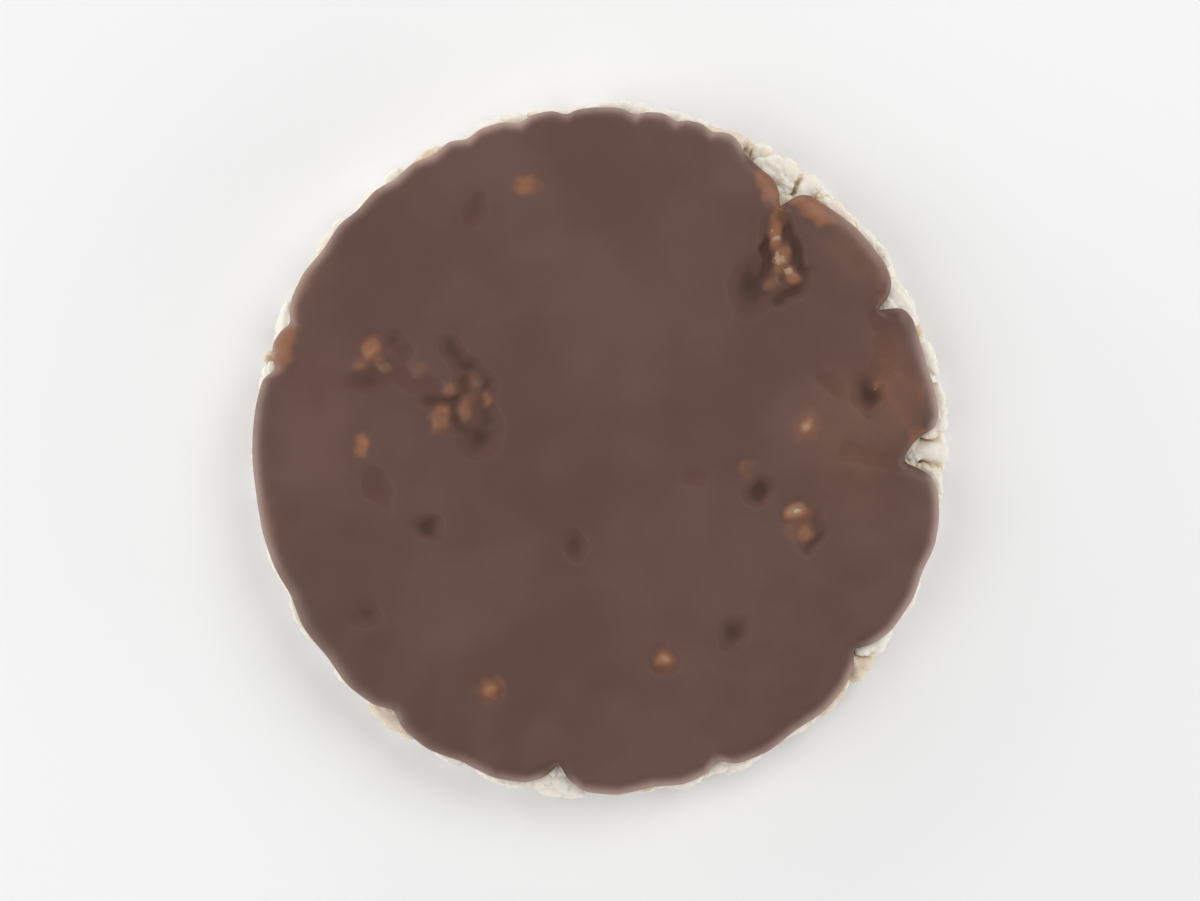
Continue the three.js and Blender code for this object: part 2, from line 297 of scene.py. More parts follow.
# Kernels of the underside: they lie every way, as evenly as the seeds of a sunflower, and the mould's plate
# has pressed them flat. Small broken grains fill the gaps that are left between them.
GOLDEN_TURN = math.pi * (3 - math.sqrt(5))
FACE_RADIUS = CAKE_RADIUS - 5.2 * MM
FACE_JITTER = 1.1 * MM
FACE_TILT = 0.3
BASE_COUNT = 108
BASE_HEIGHT = 1.5 * MM
BASE_GROWTH = 1.5
BASE_SEED = 23


def base_layout():
    draw = seeded_draws(BASE_SEED)
    kernels = []
    for i in range(BASE_COUNT):
        radius = FACE_RADIUS * math.sqrt((i + 0.5) / BASE_COUNT)
        angle = i * GOLDEN_TURN
        x = radius * math.cos(angle) + (draw() - 0.5) * FACE_JITTER
        y = radius * math.sin(angle) + (draw() - 0.5) * FACE_JITTER
        kernels.append(kernel_at(draw, x, y, BASE_HEIGHT, draw() * math.pi, FACE_TILT, BASE_GROWTH))
    return kernels


base_kernels = base_layout()


# Kernels of the shoulder: the ring of kernels just under the chocolate's edge, which shows in its notches,
# and small kernels wedged between those of the rim there.
SHOULDER_COUNT = 33
SHOULDER_RADIUS = CAKE_RADIUS - 7.6 * MM
SHOULDER_HEIGHT = RICE_TOP - 2.1 * MM
SHOULDER_GROWTH = 1.4
SHOULDER_SEED = 5
# The small ones, as (degrees from +X, radius, size).
WEDGED = ((-0.6, 41.4, 1.55), (51.6, 42.8, 1.1), (61.4, 43.6, 0.85), (164.6, 44.0, 0.8), (320.2, 42.8, 1.1))


def shoulder_layout():
    draw = seeded_draws(SHOULDER_SEED)
    kernels = []
    for i in range(SHOULDER_COUNT):
        angle = 2 * math.pi * (i + (draw() - 0.5) * RIM_SHIFT) / SHOULDER_COUNT
        x = SHOULDER_RADIUS * math.cos(angle)
        y = SHOULDER_RADIUS * math.sin(angle)
        kernels.append(kernel_at(draw, x, y, SHOULDER_HEIGHT, draw() * math.pi, FACE_TILT, SHOULDER_GROWTH))
    for degrees, radius, size in WEDGED:
        angle = math.radians(degrees)
        kernels.append(kernel_at(draw, radius * math.cos(angle) * MM, radius * math.sin(angle) * MM,
                                 SHOULDER_HEIGHT, angle, FACE_TILT, size))
    return kernels


shoulder_kernels = shoulder_layout()


# Broken grains: bits of kernel that the heat fused into the corners between the kernels of the rim and into
# the gaps between those of the underside.
BROKEN_SEED = 61
BROKEN_RADIUS = CAKE_RADIUS - 2.3 * MM
# Their rows, as (how many, height, turn as a share of the spacing, size).
BROKEN_ROWS = ((35, 4.3 * MM, 0, 0.7), (35, 3.3 * MM, 0.5, 0.7), (35, 1.0 * MM, 0.5, 0.6))


def broken_layout():
    draw = seeded_draws(BROKEN_SEED)
    kernels = []
    for count, height, row_turn, size in BROKEN_ROWS:
        for i in range(count):
            angle = 2 * math.pi * (i + row_turn + (draw() - 0.5) * RIM_SHIFT) / count
            radius = BROKEN_RADIUS - draw() * RIM_UNEVENNESS
            kernels.append(kernel_at(draw, radius * math.cos(angle), radius * math.sin(angle), height,
                                     draw() * math.pi, RIM_TURN, size))
    return kernels


# Those of the underside are spread as its kernels are, and turned to lie between them.
PLATE_COUNT = 96
PLATE_GRAIN_HEIGHT = 0.9 * MM
PLATE_GRAIN_SIZE = 0.8
PLATE_TURN = 1.3


def plate_layout():
    draw = seeded_draws(BROKEN_SEED + 1)
    kernels = []
    for i in range(PLATE_COUNT):
        radius = FACE_RADIUS * math.sqrt((i + 0.5) / PLATE_COUNT)
        angle = i * GOLDEN_TURN + PLATE_TURN
        kernels.append(kernel_at(draw, radius * math.cos(angle), radius * math.sin(angle), PLATE_GRAIN_HEIGHT,
                                 draw() * math.pi, FACE_TILT, PLATE_GRAIN_SIZE))
    return kernels


broken_grains = broken_layout()
plate_grains = plate_layout()


# The puffing: in the hot mould every kernel and broken grain foams up into a blistered lump, until it meets
# its neighbours along wavering seams, and the mould's ring and plates. Where they touch they fuse.
# How often the ball that a kernel grows from is divided.
RIM_LEVELS = 5
FACE_LEVELS = 4
# Its swelling and blisters, as shares of its radius, how far it crumples, and the size of each.
SWELL = 0.2
SWELL_SIZE = 3.2 * MM
BLISTER = 0.3
BLISTER_SIZE = 2.6 * MM
CRUMPLE = 0.9 * MM
CRUMPLE_SIZE = 4 * MM
# Bubbles of the skin: (size, depth of the furrows between them, how wide the furrows are).
BUBBLES = ((2.4 * MM, 0.42 * MM, 0.5), (1.1 * MM, 0.15 * MM, 0.55))
WRINKLE = 0.1 * MM
WRINKLE_SIZE = 0.8 * MM
# How sharp the corners are, and how often the pressed skin is smoothed: at the rim and on the plate.
RIM_FORM = (7, 6)
PLATE_FORM = (16, 1)
RING_RADIUS = CAKE_RADIUS + 0.35 * MM
# How many kernels' lengths away a neighbour can still press.
NEAR = 1.2
# The gap at a seam and how far seams wander, as shares of a kernel's radius.
CREVICE = 0.005
SEAM_WANDER = 0.05
# Where along a kernel's arms its walls are looked for: its middle is at 0 and its own skin at 1.
ARM_STEPS = np.linspace(0.2, 1.3, 23)


def scaled(tree, vector, share):
    return add_node(tree, "ShaderNodeVectorMath", {0: vector, "Scale": share}, operation="SCALE").outputs[0]


def kernel_tree():
    """Geometry Nodes that grow a lumpy, blistered kernel on each point of a mesh."""
    tree = bpy.data.node_groups.new("puffed_kernels", "GeometryNodeTree")
    tree.interface.new_socket("Geometry", in_out="INPUT", socket_type="NodeSocketGeometry")
    tree.interface.new_socket("Levels", in_out="INPUT", socket_type="NodeSocketInt")
    for name, value in (("Length", KERNEL_LENGTH), ("Width", KERNEL_WIDTH), ("Height", KERNEL_HEIGHT),
                        ("Swell", SWELL), ("Blister", BLISTER), ("Crumple", CRUMPLE)):
        socket = tree.interface.new_socket(name, in_out="INPUT", socket_type="NodeSocketFloat")
        socket.default_value = value
    tree.interface.new_socket("Material", in_out="INPUT", socket_type="NodeSocketMaterial")
    tree.interface.new_socket("Geometry", in_out="OUTPUT", socket_type="NodeSocketGeometry")
    given = add_node(tree, "NodeGroupInput").outputs

    def attribute(name, data_type="FLOAT"):
        node = add_node(tree, "GeometryNodeInputNamedAttribute", {"Name": name}, data_type=data_type)
        return node.outputs["Attribute"]

    ball = add_node(tree, "GeometryNodeMeshIcoSphere", {"Radius": 0.5, "Subdivisions": given["Levels"]})
    sides = add_node(tree, "ShaderNodeCombineXYZ",
                     {0: given["Length"], 1: given["Width"], 2: given["Height"]})
    grain = add_node(tree, "GeometryNodeTransform", {"Geometry": ball.outputs["Mesh"],
                                                     "Scale": sides.outputs[0]})
    angles = add_node(tree, "ShaderNodeCombineXYZ", {1: attribute("tilt"), 2: attribute("turn")})
    facing = add_node(tree, "FunctionNodeEulerToRotation", {0: angles.outputs[0]})
    grown = add_node(tree, "GeometryNodeInstanceOnPoints",
                     {"Points": given["Geometry"], "Instance": grain.outputs["Geometry"],
                      "Rotation": facing.outputs[0], "Scale": attribute("size")})
    loose = add_node(tree, "GeometryNodeRealizeInstances", {"Geometry": grown.outputs["Instances"]})
    place = add_node(tree, "GeometryNodeInputPosition").outputs[0]
    arm = add_node(tree, "ShaderNodeVectorMath", {0: place, 1: attribute("middle", "FLOAT_VECTOR")},
                   operation="SUBTRACT").outputs[0]
    share = add_node(tree, "ShaderNodeMath", {0: 1, 1: attribute("size")}, operation="DIVIDE").outputs[0]
    lumps = {"Vector": scaled(tree, arm, share), "W": attribute("lumps")}
    swell = add_node(tree, "ShaderNodeTexNoise", {**lumps, "Scale": 1 / SWELL_SIZE, "Detail": 1},
                     noise_dimensions="4D").outputs["Fac"]
    blisters = add_node(tree, "ShaderNodeTexVoronoi",
                        {**lumps, "Scale": 1 / BLISTER_SIZE, "Smoothness": 0.35},
                        voronoi_dimensions="4D", feature="SMOOTH_F1").outputs["Distance"]
    swollen = times(tree, plus(tree, swell, -0.5), times(tree, given["Swell"], 2))
    blistered = times(tree, plus(tree, blisters, -0.45), times(tree, given["Blister"], -1))
    swelling = scaled(tree, arm, plus(tree, swollen, blistered))
    bends = add_node(tree, "ShaderNodeTexNoise", {**lumps, "Scale": 1 / CRUMPLE_SIZE, "Detail": 0},
                     noise_dimensions="4D").outputs["Color"]
    bent = add_node(tree, "ShaderNodeVectorMath", {0: bends, 1: (0.5, 0.5, 0.5)},
                    operation="SUBTRACT").outputs[0]
    bent = scaled(tree, bent, times(tree, times(tree, given["Crumple"], 2), attribute("size")))
    offset = add_node(tree, "ShaderNodeVectorMath", {0: swelling, 1: bent}, operation="ADD").outputs[0]
    lumpy = add_node(tree, "GeometryNodeSetPosition", {"Geometry": loose.outputs["Geometry"],
                                                       "Offset": offset})
    smooth = add_node(tree, "GeometryNodeSetShadeSmooth", {"Geometry": lumpy.outputs["Geometry"]})
    finished = add_node(tree, "GeometryNodeSetMaterial", {"Geometry": smooth.outputs["Geometry"],
                                                          "Material": given["Material"]})
    add_node(tree, "NodeGroupOutput", {"Geometry": finished.outputs["Geometry"]})
    return tree


growing = kernel_tree()


def grown_kernels(name, kernels, levels, material):
    """One plain mesh of all the kernels, grown on points that carry each kernel's own values."""
    seeds = bpy.data.meshes.new(name + "_seeds")
    seeds.from_pydata([k["middle"] for k in kernels], [], [])
    for key in ("turn", "tilt", "size", "lumps", "tone"):
        set_values(seeds, key, [k[key] for k in kernels])
    middles = seeds.attributes.new("middle", "FLOAT_VECTOR", "POINT")
    middles.data.foreach_set("vector", np.array([k["middle"] for k in kernels], np.float32).ravel())
    order = seeds.attributes.new("kernel", "INT", "POINT")
    order.data.foreach_set("value", np.arange(len(kernels), dtype=np.int32))
    bed = bpy.data.objects.new(name + "_bed", seeds)
    bpy.context.scene.collection.objects.link(bed)
    nodes = bed.modifiers.new("Grow", "NODES")
    nodes.node_group = growing
    given = {"Levels": levels, "Material": material}
    for socket in growing.interface.items_tree:
        if socket.in_out == "INPUT" and socket.name in given:
            nodes[socket.identifier] = given[socket.name]
    graph = bpy.context.evaluated_depsgraph_get()
    mesh = bpy.data.meshes.new_from_object(bed.evaluated_get(graph), preserve_all_data_layers=True,
                                           depsgraph=graph)
    bpy.data.objects.remove(bed)
    piece = bpy.data.objects.new(name, mesh)
    mesh.name = name
    bpy.context.scene.collection.objects.link(piece)
    return piece


def gauge_matrix(kernel):
    """Turns an arm from the kernel's middle into its length, in which the kernel's own surface is at 1."""
    facing = Matrix.Rotation(kernel["turn"], 3, "Z") @ Matrix.Rotation(kernel["tilt"], 3, "Y")
    half = np.array((KERNEL_LENGTH, KERNEL_WIDTH, KERNEL_HEIGHT)) * kernel["size"] / 2
    return np.array(facing.transposed()) / half[:, None]


def seam_wander(points):
    """A wave over space, in shares of a kernel's radius, that bends the seams between kernels."""
    x, y, z = np.moveaxis(points / MM, -1, 0)
    waves = np.sin(1.9 * x + 1.2 * y + 0.7 * z) + np.sin(2.1 * y - 1.3 * x + 1.1 * z + 1)
    return SEAM_WANDER * (waves + np.sin(2.7 * z + 1.5 * x - 0.9 * y + 2))


def wall_reach(arms, bend, kernel, neighbour):
    """How far along each arm the wall lies where the kernel and its neighbour press on each other."""
    own = np.linalg.norm(arms @ gauge_matrix(kernel).T, axis=1)
    apart = np.array(kernel["middle"] - neighbour["middle"])
    theirs = np.linalg.norm((ARM_STEPS[:, None, None] * arms + apart) @ gauge_matrix(neighbour).T, axis=2)
    over = ARM_STEPS[:, None] * own - theirs + (bend if kernel["lumps"] > neighbour["lumps"] else -bend)
    crossed = over > 0
    first = np.argmax(crossed, axis=0)
    there = np.arange(arms.shape[0])
    before = np.maximum(first - 1, 0)
    low, high = over[before, there], over[first, there]
    share = np.where(high > low, -low / np.maximum(high - low, 1e-9), 0).clip(0, 1)
    reach = ARM_STEPS[before] + share * (ARM_STEPS[first] - ARM_STEPS[before])
    return np.where(crossed.any(axis=0), reach * (1 - CREVICE), np.inf)


def mould_reach(arms, middle):
    """How far along each arm the mould's plates and its ring lie."""
    with np.errstate(divide="ignore", invalid="ignore"):
        plate = np.where(arms[:, 2] < 0, -middle.z / arms[:, 2], (RICE_TOP - middle.z) / arms[:, 2])
        a = (arms[:, :2] ** 2).sum(axis=1)
        b = arms[:, :2] @ np.array(middle.xy)
        c = middle.xy.length_squared - RING_RADIUS ** 2
        ring = (-b + np.sqrt(np.maximum(b * b - a * c, 0))) / a
    return np.minimum(np.nan_to_num(plate, nan=np.inf), np.nan_to_num(ring, nan=np.inf))


def furrow_depth(point, lumps):
    """How deep the skin is drawn in between the bubbles of a puffed kernel."""
    depth = 0
    for size, deepest, width in BUBBLES:
        near, second = noise.voronoi(point / size + Vector((lumps, 2 * lumps, 3 * lumps)))[0][:2]
        between = min(1, (second - near) / width)
        depth += deepest * (1 - between) ** 2
    return depth + WRINKLE * abs(noise.noise(point / WRINKLE_SIZE))


def smoothed(mesh, points, passes):
    """The points, each drawn towards the middle of its neighbours, so that no thin fin stays."""
    edges = np.empty(len(mesh.edges) * 2, np.int32)
    mesh.edges.foreach_get("vertices", edges)
    here, there = edges.reshape(-1, 2).T
    share = np.bincount(edges, minlength=len(points))[:, None]
    for _ in range(passes):
        total = np.zeros_like(points)
        for axis in range(3):
            total[:, axis] = (np.bincount(here, points[there, axis], len(points))
                              + np.bincount(there, points[here, axis], len(points)))
        points = (points + total / share) / 2
    return points


def press(piece, kernels, crowd, rounding, passes):
    """Shortens each kernel's arms to the walls round it, softly, so that its corners stay round."""
    mesh = piece.data
    points = np.empty(len(mesh.vertices) * 3, np.float32)
    mesh.vertices.foreach_get("co", points)
    points = points.reshape(-1, 3).astype(float)
    owner = np.empty(len(points), np.int32)
    mesh.attributes["kernel"].data.foreach_get("value", owner)
    shade_and_film_share = np.zeros(len(points))
    for number, kernel in enumerate(kernels):
        mine = owner == number
        middle = kernel["middle"]
        arms = points[mine] - np.array(middle)
        bend = seam_wander(ARM_STEPS[:, None, None] * arms + np.array(middle))
        walls = np.zeros(len(arms))
        for other in crowd:
            if other is not kernel and (other["middle"] - middle).length < NEAR * KERNEL_LENGTH:
                walls += wall_reach(arms, bend, kernel, other) ** -float(rounding)
        mould = mould_reach(arms, middle) ** -float(rounding)
        total = 1 + walls + mould
        # Painted crevice shade: the share that the neighbours' walls take in pressing each arm in.
        shade_and_film_share[mine] = walls / total
        arms *= (total ** (-1 / rounding))[:, None]
        points[mine] = arms + np.array(middle)
    points = smoothed(mesh, points, passes)
    inward = np.array([kernels[i]["middle"] for i in owner]) - points
    furrow = np.array([furrow_depth(Vector(p), kernels[i]["lumps"]) for p, i in zip(points, owner)])
    points += inward / np.linalg.norm(inward, axis=1)[:, None] * furrow[:, None]
    mesh.vertices.foreach_set("co", points.astype(np.float32).ravel())
    set_values(mesh, "shade_and_film_share", shade_and_film_share)
    mesh.update()


crowd = rim_kernels + base_kernels + shoulder_kernels + broken_grains + plate_grains
low_row, high_row = rim_kernels[:RIM_ROWS[0][0]], rim_kernels[RIM_ROWS[0][0]:]
for name, kernels, levels, form in (("rim_low_kernels", low_row, RIM_LEVELS, RIM_FORM),
                                    ("rim_high_kernels", high_row, RIM_LEVELS, RIM_FORM),
                                    ("base_kernels", base_kernels, FACE_LEVELS, PLATE_FORM),
                                    ("shoulder_kernels", shoulder_kernels, FACE_LEVELS, RIM_FORM),
                                    ("broken_grains", broken_grains, FACE_LEVELS, RIM_FORM),
                                    ("plate_grains", plate_grains, FACE_LEVELS, PLATE_FORM)):
    piece = grown_kernels(name, kernels, levels, puffed_rice)
    press(piece, kernels, crowd, *form)
    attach(piece, "root")
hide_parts("puffed_rice")


# Bare grains: where the chocolate sank between two kernels it left small craters, and bits of grain stand in
# them, stained golden by a thin film of chocolate. They are the broken ends of kernels, so they are small.
# Each is (x, y, how far its top is under the chocolate's level, size, turn in degrees, stain).
COAT_UNDER = 7.8 * MM
COAT_TOP = 9.2 * MM
BARE_GRAINS = (
    (22.9, 28.2, -0.16, 0.34, 92, 0.8), (23.7, 25.2, -0.14, 0.4, 70, 0.8), (24.9, 23.3, -0.1, 0.3, 125, 0.8),
    (27.1, 3.3, -0.04, 0.26, 85, 0.0), (25.7, -7.9, 0.02, 0.29, 15, 0.1), (36.4, 8.4, 0.5, 0.16, 40, 0.0),
    (8.5, -27.4, 0.2, 0.26, 130, 0.4), (26.8, -10.8, 0.25, 0.22, 100, 0.6),
)
GOLDEN_FILM = (0.23, 0.1, 0.055, 1)
# How far under each grain's top the film covers it in full.
FILM_CLIMB = 0.3 * MM
STAINED_GRAIN = (0.47, 0.335, 0.22, 1)
STAINED_ROUGHNESS = 0.45
BARE_SEED = 37


def bare_layout():
    draw = seeded_draws(BARE_SEED)
    kernels = []
    for x, y, sunk, size, turn, stain in BARE_GRAINS:
        kernel = kernel_at(draw, x * MM, y * MM, 0, math.radians(turn), FACE_TILT, 1)
        kernel.update(size=size, tone=stain)
        kernel["middle"].z = COAT_TOP - sunk * MM - size * KERNEL_HEIGHT / 2
        kernels.append(kernel)
    return kernels


stained_rice = rice_material("stained_rice", STAINED_GRAIN, GOLDEN_FILM, GOLDEN_FILM, STAINED_ROUGHNESS)
bare_piece = grown_kernels("bare_grains", bare_layout(), FACE_LEVELS, stained_rice)
bare_mesh = bare_piece.data
heights = np.array([v.co.z for v in bare_mesh.vertices])
owners = np.array([value.value for value in bare_mesh.attributes["kernel"].data])
tops = np.array([heights[owners == number].max() for number in range(len(BARE_GRAINS))])
set_values(bare_mesh, "shade_and_film_share", ((tops[owners] - heights) / FILM_CLIMB).clip(0, 1))
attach(bare_piece, "root")


# Chocolate: a thin layer of milk chocolate poured over the top face. It follows the kernels in soft waves, it
# ran over the rim and set there in a rounded edge, and it drew back in notches that show the rice.
COAT_RADIUS = CAKE_RADIUS - 0.9 * MM
COAT_LEVEL = COAT_TOP - 0.1 * MM
COAT_LEAST = 0.12 * MM
EDGE_ROUND = 2 * MM
# The painted highlight, a pale band along the rounded edge: its width, and the radii from which and at which
# it shows in full.
EDGE_HIGHLIGHT_WIDTH = 1.5 * MM
EDGE_HIGHLIGHT_REACH = (42.8 * MM, 44.4 * MM)
# The lip that ran over the rim. It runs down less where the edge lies further in or a notch is near.
LIP_THICKNESS = 1.1 * MM
LIP_TUCK = 0.5 * MM
LIP_RUN = 0.5 * MM
LIP_RUN_SPREAD = 0.3 * MM
LIP_REACH = 0.8 * MM
LIP_FADE = 0.06
LIP_RINGS = 14
# How high the edge is at its widest, as a share of the coat's thickness.
BELLY = 0.25
EDGE_SOFTENING = 8
INSET_SOFTENING = 30
# The top's mesh is a square grid bent to a disc, whose first corner is turned to this angle.
GRID = 280
CORNER_TURN = math.radians(-135)
LONG_RISE = 0.1 * MM
SHORT_RISE = 0.08 * MM
# How far it rises over the kernels of the rim and over those further in, and how fast that falls off.
RIM_RISE = 0.16 * MM
FACE_RISE = 0.06 * MM
RISE_FALL = 1.6
# Shifts that bend the outlines of films, pits and lumps, as (how far, size, two places in the noise).
FILM_WANDER = (0.8 * MM, 1.4 * MM, 21, 27)
PIT_WANDERS = ((0.7 * MM, 2 * MM, 3, 9), (0.16 * MM, 1 * MM, 5, 13))
FILM_STRENGTH = 0.55
# How far a lump may stand out of the coat, and the depth at which the pits' painted shade and pooled
# chocolate are darkest.
LUMP_PROUD = 0.1 * MM
DARKEST_DEPTH = 1.1 * MM
# Its edge, as (degrees from +X towards +Y, radius in millimetres). It bulges over each kernel of the rim and
# draws back between them. From -20 to 200 degrees it is as in the photo, and the rest is made to match.
COAT_EDGE = (
    (-16, 45.7), (-12, 45.5), (-9, 45.1), (-5.7, 44.4), (-4, 43.2), (-3, 41.6), (-2.2, 39.9),
    (-0.8, 40.1), (1.2, 41), (2.7, 42.3), (3.8, 44.1), (6, 44.8), (10, 44.7), (14, 44.4),
    (19, 44.4), (23, 44.6), (25.2, 44), (26.1, 42.4), (26.8, 40.7), (28, 43), (30, 44.3),
    (33, 44.8), (37, 44.7), (41, 44.6), (45, 44.1), (48, 43.7), (50.4, 43.5), (52, 42.7),
    (52.8, 41.4), (53.6, 39.6), (55, 41.2), (57.2, 42.3), (60.2, 42.6), (63.6, 43.2), (65.4, 44.3),
    (67.2, 45), (69.4, 44.8), (70.5, 44.2), (72.4, 45), (75.4, 44.9), (76.8, 44.2), (79, 45.1),
    (82.4, 44.9), (83.8, 44.2), (86.4, 45.1), (91, 45.1), (94.4, 44.8), (95.6, 44.2), (98, 45.1),
    (101.6, 45), (103.8, 44.2), (106.4, 45), (110.6, 45.1), (113, 44.4), (116, 45.2), (119.6, 44.5),
    (123, 45.1), (127, 44.6), (131, 45.2), (135, 44.8), (139, 45.3), (144, 44.9), (149, 45.4),
    (154, 45.2), (156.4, 44.6), (157.6, 43.8), (159.4, 44.8), (162, 45.2), (164.4, 44.8), (165.8, 43.8),
    (168, 45.3), (173, 45.6), (180, 45.7), (187, 45.5), (194, 45.6), (200, 45.4), (205, 44.8),
    (211, 45.4), (217, 44.9), (223, 45.3), (228.5, 44.7), (231.5, 43.4), (234.5, 44.8), (240, 45.3),
    (246, 44.7), (252, 45.2), (257.5, 44.7), (260.6, 43.4), (262.6, 41.4), (264.4, 43.4), (267.4, 44.9),
    (273, 45.3), (279, 44.7), (284, 45.2), (288, 44.8), (290.6, 43.5), (293.4, 44.9), (299, 45.3),
    (305, 44.8), (311, 45.2), (316, 44.7), (319.6, 43.8), (322, 42.2), (324.4, 43.9), (328.4, 45),
    (335, 45.5), (339.4, 45.2),
)
# Pits where it sank: (x, y, half length, half width, turn in degrees, depth), in millimetres.
PITS = (
    (19.8, 21.4, 3.9, 2.6, 85, 0.95), (-30.4, 9.2, 3.1, 1.6, 5, 0.55), (-15.7, 1.4, 2.7, 2.1, 30, 0.95),
    (-16.4, 31.6, 2.2, 1.7, 70, 0.4), (35.4, 7.4, 2.7, 2.0, 100, 1.0), (20.9, -5.4, 2.1, 1.5, 40, 0.9),
    (-22.6, -10.2, 1.9, 1.6, 0, 0.8), (-3.3, -12.4, 2.0, 1.7, 90, 0.6), (-29.2, -4.8, 3.0, 1.7, 110, 0.35),
    (17.5, -24.0, 2.4, 1.8, 60, 0.75), (-30.5, -21.5, 2.1, 1.6, 20, 0.6), (-27.0, 14.2, 1.5, 1.1, 60, 0.5),
    (-29.9, 13.3, 2.2, 1.7, 60, 0.7), (27.1, 3.2, 1.2, 0.9, 85, 0.35), (25.8, -8.0, 2.0, 1.5, 15, 0.7),
    (26.7, -10.7, 2.0, 1.3, 100, 0.7), (8.5, -27.4, 2.0, 1.6, 130, 0.75), (-14.4, -31.4, 1.7, 1.3, 30, 0.6),
    (-20.9, 4.4, 2.1, 1.5, 80, 0.5), (23.4, 28.2, 3.4, 1.9, 85, 0.95), (24.1, 24.4, 3.1, 2.4, 100, 0.95),
    (22.0, 21.2, 1.8, 1.3, 30, 0.8), (-17.2, 9.0, 2.2, 1.8, 80, 0.8), (-17.3, 5.4, 2.4, 2.0, 100, 0.8),
    (-25.6, 13.0, 1.6, 1.0, 100, 0.35), (30.2, 8.6, 2.4, 1.2, 150, 0.25), (12.4, -3.4, 2.2, 1.4, 20, 0.2),
)
# Grains that stand up in them under a thin skin of chocolate: (x, y, half length, half width, turn in
# degrees, height, how golden they shine through), in millimetres.
LUMPS = (
    (23.0, 28.4, 2.6, 1.1, 92, 0.8, 0.5), (23.8, 24.9, 2.5, 1.3, 75, 0.85, 0.5),
    (25.1, 23.0, 1.7, 1.0, 130, 0.75, 0.5), (22.3, 21.6, 1.5, 1.0, 30, 0.7, 0.35),
    (24.1, 31.6, 1.5, 0.6, 85, 0.4, 0.3), (-29.9, 13.3, 1.7, 1.3, 60, 0.75, 0.7),
    (-31.6, 11.3, 1.2, 0.9, 20, 0.5, 0.35), (-28.2, 10.9, 1.3, 0.9, 150, 0.5, 0.35),
    (-16.4, 9.2, 1.6, 1.1, 110, 0.7, 0.25), (-17.7, 5.4, 2.0, 1.2, 95, 0.75, 0.35),
    (-19.6, 7.9, 1.4, 1.0, 140, 0.6, 0.35), (-23.6, 10.6, 1.8, 1.3, 60, 0.25, 0.2),
    (-14.9, 6.6, 1.3, 0.6, 80, 0.6, 0.5), (-20.9, 4.4, 1.8, 1.2, 80, 0.6, 0.5),
    (27.1, 3.2, 1.7, 0.95, 85, 0.55, 1.0), (25.8, -8.0, 1.6, 1.2, 15, 0.8, 0.95),
    (26.8, -10.9, 1.4, 1.0, 100, 0.7, 0.5), (8.5, -27.4, 1.5, 1.1, 130, 0.7, 0.85),
    (-14.4, -31.4, 1.3, 0.9, 30, 0.6, 0.7), (36.4, 8.4, 0.9, 0.6, 40, 0.5, 0.5),
)
# Thin places, where the grain gives the chocolate an amber tint: (x, y, half length, half width, turn in
# degrees, strength), in millimetres.
FILMS = (
    (-9.6, 34.7, 2.3, 1.6, 0, 0.8), (-31.2, 0.6, 2.1, 1.4, 80, 1.0), (27.1, 3.2, 3.6, 2.8, 80, 0.5),
    (26.3, -9.4, 3.6, 2.6, 75, 0.5), (-20.9, 4.4, 2.5, 1.9, 80, 0.8), (-29.9, 13.2, 2.8, 2.3, 60, 0.6),
    (-17.4, 7.0, 4.0, 2.7, 100, 0.35), (19.0, -2.4, 1.9, 1.1, 60, 0.4), (23.6, 25.5, 5.0, 3.2, 85, 0.3),
    (8.5, -27.4, 2.6, 2.2, 130, 0.5), (-14.4, -31.4, 2.6, 2.1, 30, 0.6), (41.8, 8.0, 4.0, 1.5, 100, 0.35),
    (22.3, 34.6, 4.4, 2.1, 118, 0.9), (28.2, 31.8, 4.2, 2.4, 155, 1.1), (-41.6, 14.0, 5.2, 2.3, 74, 1.0),
    (-43.2, 13.2, 3.2, 0.9, 75, 1.7), (29.0, 33.2, 2.6, 0.7, 140, 1.5),
    (23.4, 30.6, 3.0, 1.6, 80, 0.7), (35.6, 23.2, 5.0, 1.4, 125, 0.35), (37.2, 19.6, 2.6, 1.4, 60, 0.5),
    (41.2, 1.9, 2.4, 1.3, 50, 0.6), (-43.4, -9.0, 4.5, 1.2, 100, 0.4), (-38.6, 22.0, 5.0, 1.3, 60, 0.4),
    (33.0, 2.0, 15.0, 9.0, 95, 0.25), (38.5, 8.0, 11.0, 5.0, 100, 0.4), (34.0, 26.0, 9.0, 5.0, 130, 0.3),
    (-37.0, 6.0, 16.0, 8.0, 95, 0.14),
)
# Cracks: (half width, depth, points along it), in millimetres.
CRACKS = (
    (1.1, 0.9, ((24.3, 32.8), (23.7, 30.8), (22.1, 29.0), (21.6, 26.4), (22.0, 23.6), (21.0, 20.8))),
    (1.0, 0.9, ((24.2, 31.0), (24.9, 28.4), (25.8, 26.0), (26.6, 23.6), (25.7, 21.2), (23.6, 19.8))),
    (1.3, 0.7, ((-19.6, 13.8), (-18.5, 11.6), (-16.9, 10.9), (-14.9, 8.9), (-15.3, 6.6), (-14.6, 3.6))),
    (1.1, 0.7, ((-17.4, 7.6), (-19.4, 6.4), (-22.2, 6.6))),
    (1.1, 0.7, ((-18.4, 8.0), (-19.5, 4.4), (-17.6, 2.4))),
    (0.9, 0.5, ((28.2, -8.4), (28.5, -11.0), (27.4, -13.0))),
    (1.6, 0.3, ((36.9, 18.4), (37.6, 13.0), (36.0, 8.6))),
    (1.4, 0.2, ((32.4, 0.0), (35.8, -0.9), (39.9, -1.6))),
    (1.6, 0.25, ((-27.6, 11.0), (-24.6, 9.0), (-21.8, 8.2))),
)


def smooth_step(value, low, high):
    share = np.clip((value - low) / (high - low), 0, 1)
    return share * share * (3 - 2 * share)


def coat_edge(angle):
    """The radius of the chocolate's edge at an angle, straight between the places of the list."""
    turns, radii = np.transpose(COAT_EDGE)
    return np.interp(np.degrees(angle), turns, radii, period=360) * MM


